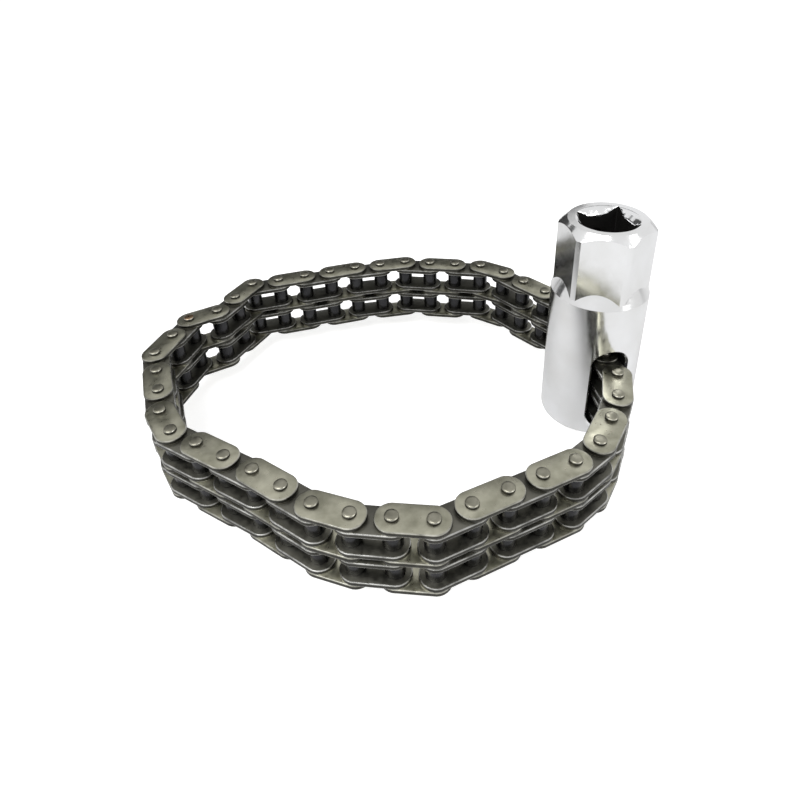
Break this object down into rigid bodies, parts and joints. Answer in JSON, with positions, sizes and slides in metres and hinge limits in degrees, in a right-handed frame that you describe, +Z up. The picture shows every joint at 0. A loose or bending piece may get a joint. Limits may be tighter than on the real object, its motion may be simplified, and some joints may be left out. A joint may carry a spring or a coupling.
{
  "type": "chain oil filter wrench",
  "caption": "Loop of duplex roller chain that runs through a window in a chromed drive socket, to grip and turn oil filters.",
  "frame": {"origin": "centre of the socket's round foot face", "axes": "+Z up the socket's axis towards the drive square, the window runs along Y, the chain's loop lies on the -X side"},
  "size_m": [0.1529, 0.1253, 0.0673],
  "materials": {
    "chrome": "bright chrome plate with light handling marks",
    "outer_steel": "satin olive-grey oiled steel",
    "inner_steel": "dark oiled steel",
    "bronzed_pin": "bronze-tinted steel"
  },
  "bodies": {
    "socket": {"socket_body": "chrome"},
    "outer_link_01": {"outer_link_01": "outer_steel"},
    "inner_link_01": {"inner_link_01": "inner_steel"},
    "outer_link_02": {"outer_link_02": "outer_steel"},
    "inner_link_02": {"inner_link_02": "inner_steel"},
    "outer_link_03": {"outer_link_03": "outer_steel"},
    "inner_link_03": {"inner_link_03": "inner_steel"},
    "outer_link_04": {"outer_link_04": "outer_steel"},
    "inner_link_04": {"inner_link_04": "inner_steel"},
    "outer_link_05": {"outer_link_05": "outer_steel"},
    "inner_link_05": {"inner_link_05": "inner_steel"},
    "outer_link_06": {"outer_link_06": "outer_steel"},
    "inner_link_06": {"inner_link_06": "inner_steel"},
    "outer_link_07": {"outer_link_07": "outer_steel"},
    "inner_link_07": {"inner_link_07": "inner_steel"},
    "outer_link_08": {"outer_link_08": "outer_steel"},
    "inner_link_08": {"inner_link_08": "inner_steel"},
    "outer_link_09": {"outer_link_09": "outer_steel"},
    "inner_link_09": {"inner_link_09": "inner_steel"},
    "outer_link_10": {"outer_link_10": "outer_steel"},
    "inner_link_10": {"inner_link_10": "inner_steel"},
    "outer_link_11": {"outer_link_11": "outer_steel"},
    "inner_link_11": {"inner_link_11": "inner_steel"},
    "outer_link_12": {"outer_link_12": "outer_steel", "closing_pin": "bronzed_pin"},
    "inner_link_12": {"inner_link_12": "inner_steel"},
    "outer_link_13": {"outer_link_13": "outer_steel"},
    "inner_link_13": {"inner_link_13": "inner_steel"},
    "outer_link_14": {"outer_link_14": "outer_steel"},
    "inner_link_14": {"inner_link_14": "inner_steel"},
    "outer_link_15": {"outer_link_15": "outer_steel"},
    "inner_link_15": {"inner_link_15": "inner_steel"},
    "outer_link_16": {"outer_link_16": "outer_steel"},
    "inner_link_16": {"inner_link_16": "inner_steel"},
    "outer_link_17": {"outer_link_17": "outer_steel"},
    "inner_link_17": {"inner_link_17": "inner_steel"},
    "outer_link_18": {"outer_link_18": "outer_steel"},
    "inner_link_18": {"inner_link_18": "inner_steel"},
    "outer_link_19": {"outer_link_19": "outer_steel"},
    "inner_link_19": {"inner_link_19": "inner_steel"},
    "outer_link_20": {"outer_link_20": "outer_steel"},
    "inner_link_20": {"inner_link_20": "inner_steel"},
    "outer_link_21": {"outer_link_21": "outer_steel"},
    "inner_link_21": {"inner_link_21": "inner_steel"}
  },
  "joints": [
    {"name": "chain_slide", "type": "slide", "parent": "socket", "child": "outer_link_21", "axis": [0, 1, 0], "range_m": [-0.002, 0.004]},
    {"name": "link_pivot_41", "type": "hinge", "parent": "outer_link_21", "child": "inner_link_21", "pos_m": [0, -0.00867, 0.0164], "axis": [0, 0, 1], "range_deg": [-0.5, 0.5]},
    {"name": "link_pivot_00", "type": "hinge", "parent": "inner_link_21", "child": "outer_link_01", "pos_m": [0, -0.01819, 0.0164], "axis": [0, 0, 1], "range_deg": [-2, 2]},
    {"name": "link_pivot_01", "type": "hinge", "parent": "outer_link_01", "child": "inner_link_01", "pos_m": [-0.00362, -0.027, 0.0164], "axis": [0, 0, 1], "range_deg": [-5.51, 5.51]},
    {"name": "link_pivot_02", "type": "hinge", "parent": "inner_link_01", "child": "outer_link_02", "pos_m": [-0.00883, -0.03497, 0.0164], "axis": [0, 0, 1], "range_deg": [-3.85, 3.85]},
    {"name": "link_pivot_03", "type": "hinge", "parent": "outer_link_02", "child": "inner_link_02", "pos_m": [-0.0149, -0.04231, 0.0164], "axis": [0, 0, 1], "range_deg": [-1.75, 1.75]},
    {"name": "link_pivot_04", "type": "hinge", "parent": "inner_link_02", "child": "outer_link_03", "pos_m": [-0.02299, -0.04735, 0.0164], "axis": [0, 0, 1], "range_deg": [-0.7, 0.7]},
    {"name": "link_pivot_05", "type": "hinge", "parent": "outer_link_03", "child": "inner_link_03", "pos_m": [-0.03208, -0.05019, 0.0164], "axis": [0, 0, 1], "range_deg": [-1.12, 1.12]},
    {"name": "link_pivot_06", "type": "hinge", "parent": "inner_link_03", "child": "outer_link_04", "pos_m": [-0.04118, -0.053, 0.0164], "axis": [0, 0, 1], "range_deg": [-2.4, 2.4]},
    {"name": "link_pivot_07", "type": "hinge", "parent": "outer_link_04", "child": "inner_link_04", "pos_m": [-0.05029, -0.0558, 0.0164], "axis": [0, 0, 1], "range_deg": [-3.82, 3.82]},
    {"name": "link_pivot_08", "type": "hinge", "parent": "inner_link_04", "child": "outer_link_05", "pos_m": [-0.05939, -0.05861, 0.0164], "axis": [0, 0, 1], "range_deg": [-4.97, 4.97]},
    {"name": "link_pivot_09", "type": "hinge", "parent": "outer_link_05", "child": "inner_link_05", "pos_m": [-0.06864, -0.05633, 0.0164], "axis": [0, 0, 1], "range_deg": [-5.17, 5.17]},
    {"name": "link_pivot_10", "type": "hinge", "parent": "inner_link_05", "child": "outer_link_06", "pos_m": [-0.07786, -0.05394, 0.0164], "axis": [0, 0, 1], "range_deg": [-4.52, 4.52]},
    {"name": "link_pivot_11", "type": "hinge", "parent": "outer_link_06", "child": "inner_link_06", "pos_m": [-0.08637, -0.04967, 0.0164], "axis": [0, 0, 1], "range_deg": [-3.67, 3.67]},
    {"name": "link_pivot_12", "type": "hinge", "parent": "inner_link_06", "child": "outer_link_07", "pos_m": [-0.09355, -0.04341, 0.0164], "axis": [0, 0, 1], "range_deg": [-2.81, 2.81]},
    {"name": "link_pivot_13", "type": "hinge", "parent": "outer_link_07", "child": "inner_link_07", "pos_m": [-0.10072, -0.03714, 0.0164], "axis": [0, 0, 1], "range_deg": [-0.92, 0.92]},
    {"name": "link_pivot_14", "type": "hinge", "parent": "inner_link_07", "child": "outer_link_08", "pos_m": [-0.10827, -0.03133, 0.0164], "axis": [0, 0, 1], "range_deg": [-1.61, 1.61]},
    {"name": "link_pivot_15", "type": "hinge", "parent": "outer_link_08", "child": "inner_link_08", "pos_m": [-0.11582, -0.02553, 0.0164], "axis": [0, 0, 1], "range_deg": [-3.58, 3.58]},
    {"name": "link_pivot_16", "type": "hinge", "parent": "inner_link_08", "child": "outer_link_09", "pos_m": [-0.12338, -0.01972, 0.0164], "axis": [0, 0, 1], "range_deg": [-4.27, 4.27]},
    {"name": "link_pivot_17", "type": "hinge", "parent": "outer_link_09", "child": "inner_link_09", "pos_m": [-0.12775, -0.01126, 0.0164], "axis": [0, 0, 1], "range_deg": [-3.4, 3.4]},
    {"name": "link_pivot_18", "type": "hinge", "parent": "inner_link_09", "child": "outer_link_10", "pos_m": [-0.13011, -0.00204, 0.0164], "axis": [0, 0, 1], "range_deg": [-2.49, 2.49]},
    {"name": "link_pivot_19", "type": "hinge", "parent": "outer_link_10", "child": "inner_link_10", "pos_m": [-0.13247, 0.00719, 0.0164], "axis": [0, 0, 1], "range_deg": [-1.85, 1.85]},
    {"name": "link_pivot_20", "type": "hinge", "parent": "inner_link_10", "child": "outer_link_11", "pos_m": [-0.13479, 0.01643, 0.0164], "axis": [0, 0, 1], "range_deg": [-2.29, 2.29]},
    {"name": "link_pivot_21", "type": "hinge", "parent": "outer_link_11", "child": "inner_link_11", "pos_m": [-0.13103, 0.02518, 0.0164], "axis": [0, 0, 1], "range_deg": [-1.05, 1.05]},
    {"name": "link_pivot_40", "type": "hinge", "parent": "outer_link_21", "child": "inner_link_20", "pos_m": [0, 0.00086, 0.0164], "axis": [0, 0, 1], "range_deg": [-0.5, 0.5]},
    {"name": "link_pivot_39", "type": "hinge", "parent": "inner_link_20", "child": "outer_link_20", "pos_m": [0, 0.01038, 0.0164], "axis": [0, 0, 1], "range_deg": [-0.9, 0.9]},
    {"name": "loop_fold", "type": "hinge", "parent": "outer_link_20", "child": "inner_link_19", "pos_m": [-0.0008, 0.01987, 0.0164], "axis": [0, 0, 1], "range_deg": [-5.95, 5.95]},
    {"name": "link_pivot_37", "type": "hinge", "parent": "inner_link_19", "child": "outer_link_19", "pos_m": [-0.00616, 0.02775, 0.0164], "axis": [0, 0, 1], "range_deg": [-4.37, 4.37]},
    {"name": "link_pivot_36", "type": "hinge", "parent": "outer_link_19", "child": "inner_link_18", "pos_m": [-0.01151, 0.03563, 0.0164], "axis": [0, 0, 1], "range_deg": [-2.41, 2.41]},
    {"name": "link_pivot_35", "type": "hinge", "parent": "inner_link_18", "child": "outer_link_18", "pos_m": [-0.01658, 0.04369, 0.0164], "axis": [0, 0, 1], "range_deg": [-0.6, 0.6]},
    {"name": "link_pivot_34", "type": "hinge", "parent": "outer_link_18", "child": "inner_link_17", "pos_m": [-0.02371, 0.05001, 0.0164], "axis": [0, 0, 1], "range_deg": [-1.2, 1.2]},
    {"name": "link_pivot_33", "type": "hinge", "parent": "inner_link_17", "child": "outer_link_17", "pos_m": [-0.03276, 0.05297, 0.0164], "axis": [0, 0, 1], "range_deg": [-2.37, 2.37]},
    {"name": "link_pivot_32", "type": "hinge", "parent": "outer_link_17", "child": "inner_link_16", "pos_m": [-0.04188, 0.05574, 0.0164], "axis": [0, 0, 1], "range_deg": [-3.58, 3.58]},
    {"name": "link_pivot_31", "type": "hinge", "parent": "inner_link_16", "child": "outer_link_16", "pos_m": [-0.05099, 0.05851, 0.0164], "axis": [0, 0, 1], "range_deg": [-4.39, 4.39]},
    {"name": "link_pivot_30", "type": "hinge", "parent": "outer_link_16", "child": "inner_link_15", "pos_m": [-0.06051, 0.0583, 0.0164], "axis": [0, 0, 1], "range_deg": [-4.43, 4.43]},
    {"name": "link_pivot_29", "type": "hinge", "parent": "inner_link_15", "child": "outer_link_15", "pos_m": [-0.07003, 0.05801, 0.0164], "axis": [0, 0, 1], "range_deg": [-4.39, 4.39]},
    {"name": "link_pivot_28", "type": "hinge", "parent": "outer_link_15", "child": "inner_link_14", "pos_m": [-0.07949, 0.05684, 0.0164], "axis": [0, 0, 1], "range_deg": [-4.24, 4.24]},
    {"name": "link_pivot_27", "type": "hinge", "parent": "inner_link_14", "child": "outer_link_14", "pos_m": [-0.08894, 0.05565, 0.0164], "axis": [0, 0, 1], "range_deg": [-3.47, 3.47]},
    {"name": "link_pivot_26", "type": "hinge", "parent": "outer_link_14", "child": "inner_link_13", "pos_m": [-0.09839, 0.05446, 0.0164], "axis": [0, 0, 1], "range_deg": [-1.69, 1.69]},
    {"name": "link_pivot_25", "type": "hinge", "parent": "inner_link_13", "child": "outer_link_13", "pos_m": [-0.10784, 0.05327, 0.0164], "axis": [0, 0, 1], "range_deg": [-0.77, 0.77]},
    {"name": "link_pivot_24", "type": "hinge", "parent": "outer_link_13", "child": "inner_link_12", "pos_m": [-0.11318, 0.04539, 0.0164], "axis": [0, 0, 1], "range_deg": [-2.75, 2.75]},
    {"name": "link_pivot_23", "type": "hinge", "parent": "inner_link_12", "child": "outer_link_12", "pos_m": [-0.11839, 0.03741, 0.0164], "axis": [0, 0, 1], "range_deg": [-3.09, 3.09]}
  ],
  "couplings": [
    {"joint": "link_pivot_41", "follows": "loop_fold", "ratio": -0.08357},
    {"joint": "link_pivot_00", "follows": "loop_fold", "ratio": -0.3359},
    {"joint": "link_pivot_01", "follows": "loop_fold", "ratio": -0.92547},
    {"joint": "link_pivot_02", "follows": "loop_fold", "ratio": -0.64622},
    {"joint": "link_pivot_03", "follows": "loop_fold", "ratio": -0.29429},
    {"joint": "link_pivot_04", "follows": "loop_fold", "ratio": -0.11659},
    {"joint": "link_pivot_05", "follows": "loop_fold", "ratio": 0.18835},
    {"joint": "link_pivot_06", "follows": "loop_fold", "ratio": 0.40259},
    {"joint": "link_pivot_07", "follows": "loop_fold", "ratio": 0.64107},
    {"joint": "link_pivot_08", "follows": "loop_fold", "ratio": 0.83384},
    {"joint": "link_pivot_09", "follows": "loop_fold", "ratio": 0.86727},
    {"joint": "link_pivot_10", "follows": "loop_fold", "ratio": 0.7592},
    {"joint": "link_pivot_11", "follows": "loop_fold", "ratio": 0.61692},
    {"joint": "link_pivot_12", "follows": "loop_fold", "ratio": 0.47143},
    {"joint": "link_pivot_13", "follows": "loop_fold", "ratio": 0.15447},
    {"joint": "link_pivot_14", "follows": "loop_fold", "ratio": -0.27028},
    {"joint": "link_pivot_15", "follows": "loop_fold", "ratio": -0.60087},
    {"joint": "link_pivot_16", "follows": "loop_fold", "ratio": -0.71746},
    {"joint": "link_pivot_17", "follows": "loop_fold", "ratio": -0.57124},
    {"joint": "link_pivot_18", "follows": "loop_fold", "ratio": -0.41721},
    {"joint": "link_pivot_19", "follows": "loop_fold", "ratio": -0.31113},
    {"joint": "link_pivot_20", "follows": "loop_fold", "ratio": -0.38424},
    {"joint": "link_pivot_21", "follows": "loop_fold", "ratio": -0.17556},
    {"joint": "link_pivot_40", "follows": "loop_fold", "ratio": 0.08353},
    {"joint": "link_pivot_39", "follows": "loop_fold", "ratio": 0.15075},
    {"joint": "link_pivot_37", "follows": "loop_fold", "ratio": 0.73419},
    {"joint": "link_pivot_36", "follows": "loop_fold", "ratio": 0.40493},
    {"joint": "link_pivot_35", "follows": "loop_fold", "ratio": 0.09977},
    {"joint": "link_pivot_34", "follows": "loop_fold", "ratio": -0.20114},
    {"joint": "link_pivot_33", "follows": "loop_fold", "ratio": -0.39839},
    {"joint": "link_pivot_32", "follows": "loop_fold", "ratio": -0.60052},
    {"joint": "link_pivot_31", "follows": "loop_fold", "ratio": -0.73634},
    {"joint": "link_pivot_30", "follows": "loop_fold", "ratio": -0.74387},
    {"joint": "link_pivot_29", "follows": "loop_fold", "ratio": -0.73734},
    {"joint": "link_pivot_28", "follows": "loop_fold", "ratio": -0.71254},
    {"joint": "link_pivot_27", "follows": "loop_fold", "ratio": -0.58315},
    {"joint": "link_pivot_26", "follows": "loop_fold", "ratio": -0.28402},
    {"joint": "link_pivot_25", "follows": "loop_fold", "ratio": 0.12953},
    {"joint": "link_pivot_24", "follows": "loop_fold", "ratio": 0.46232},
    {"joint": "link_pivot_23", "follows": "loop_fold", "ratio": 0.51922}
  ]
}
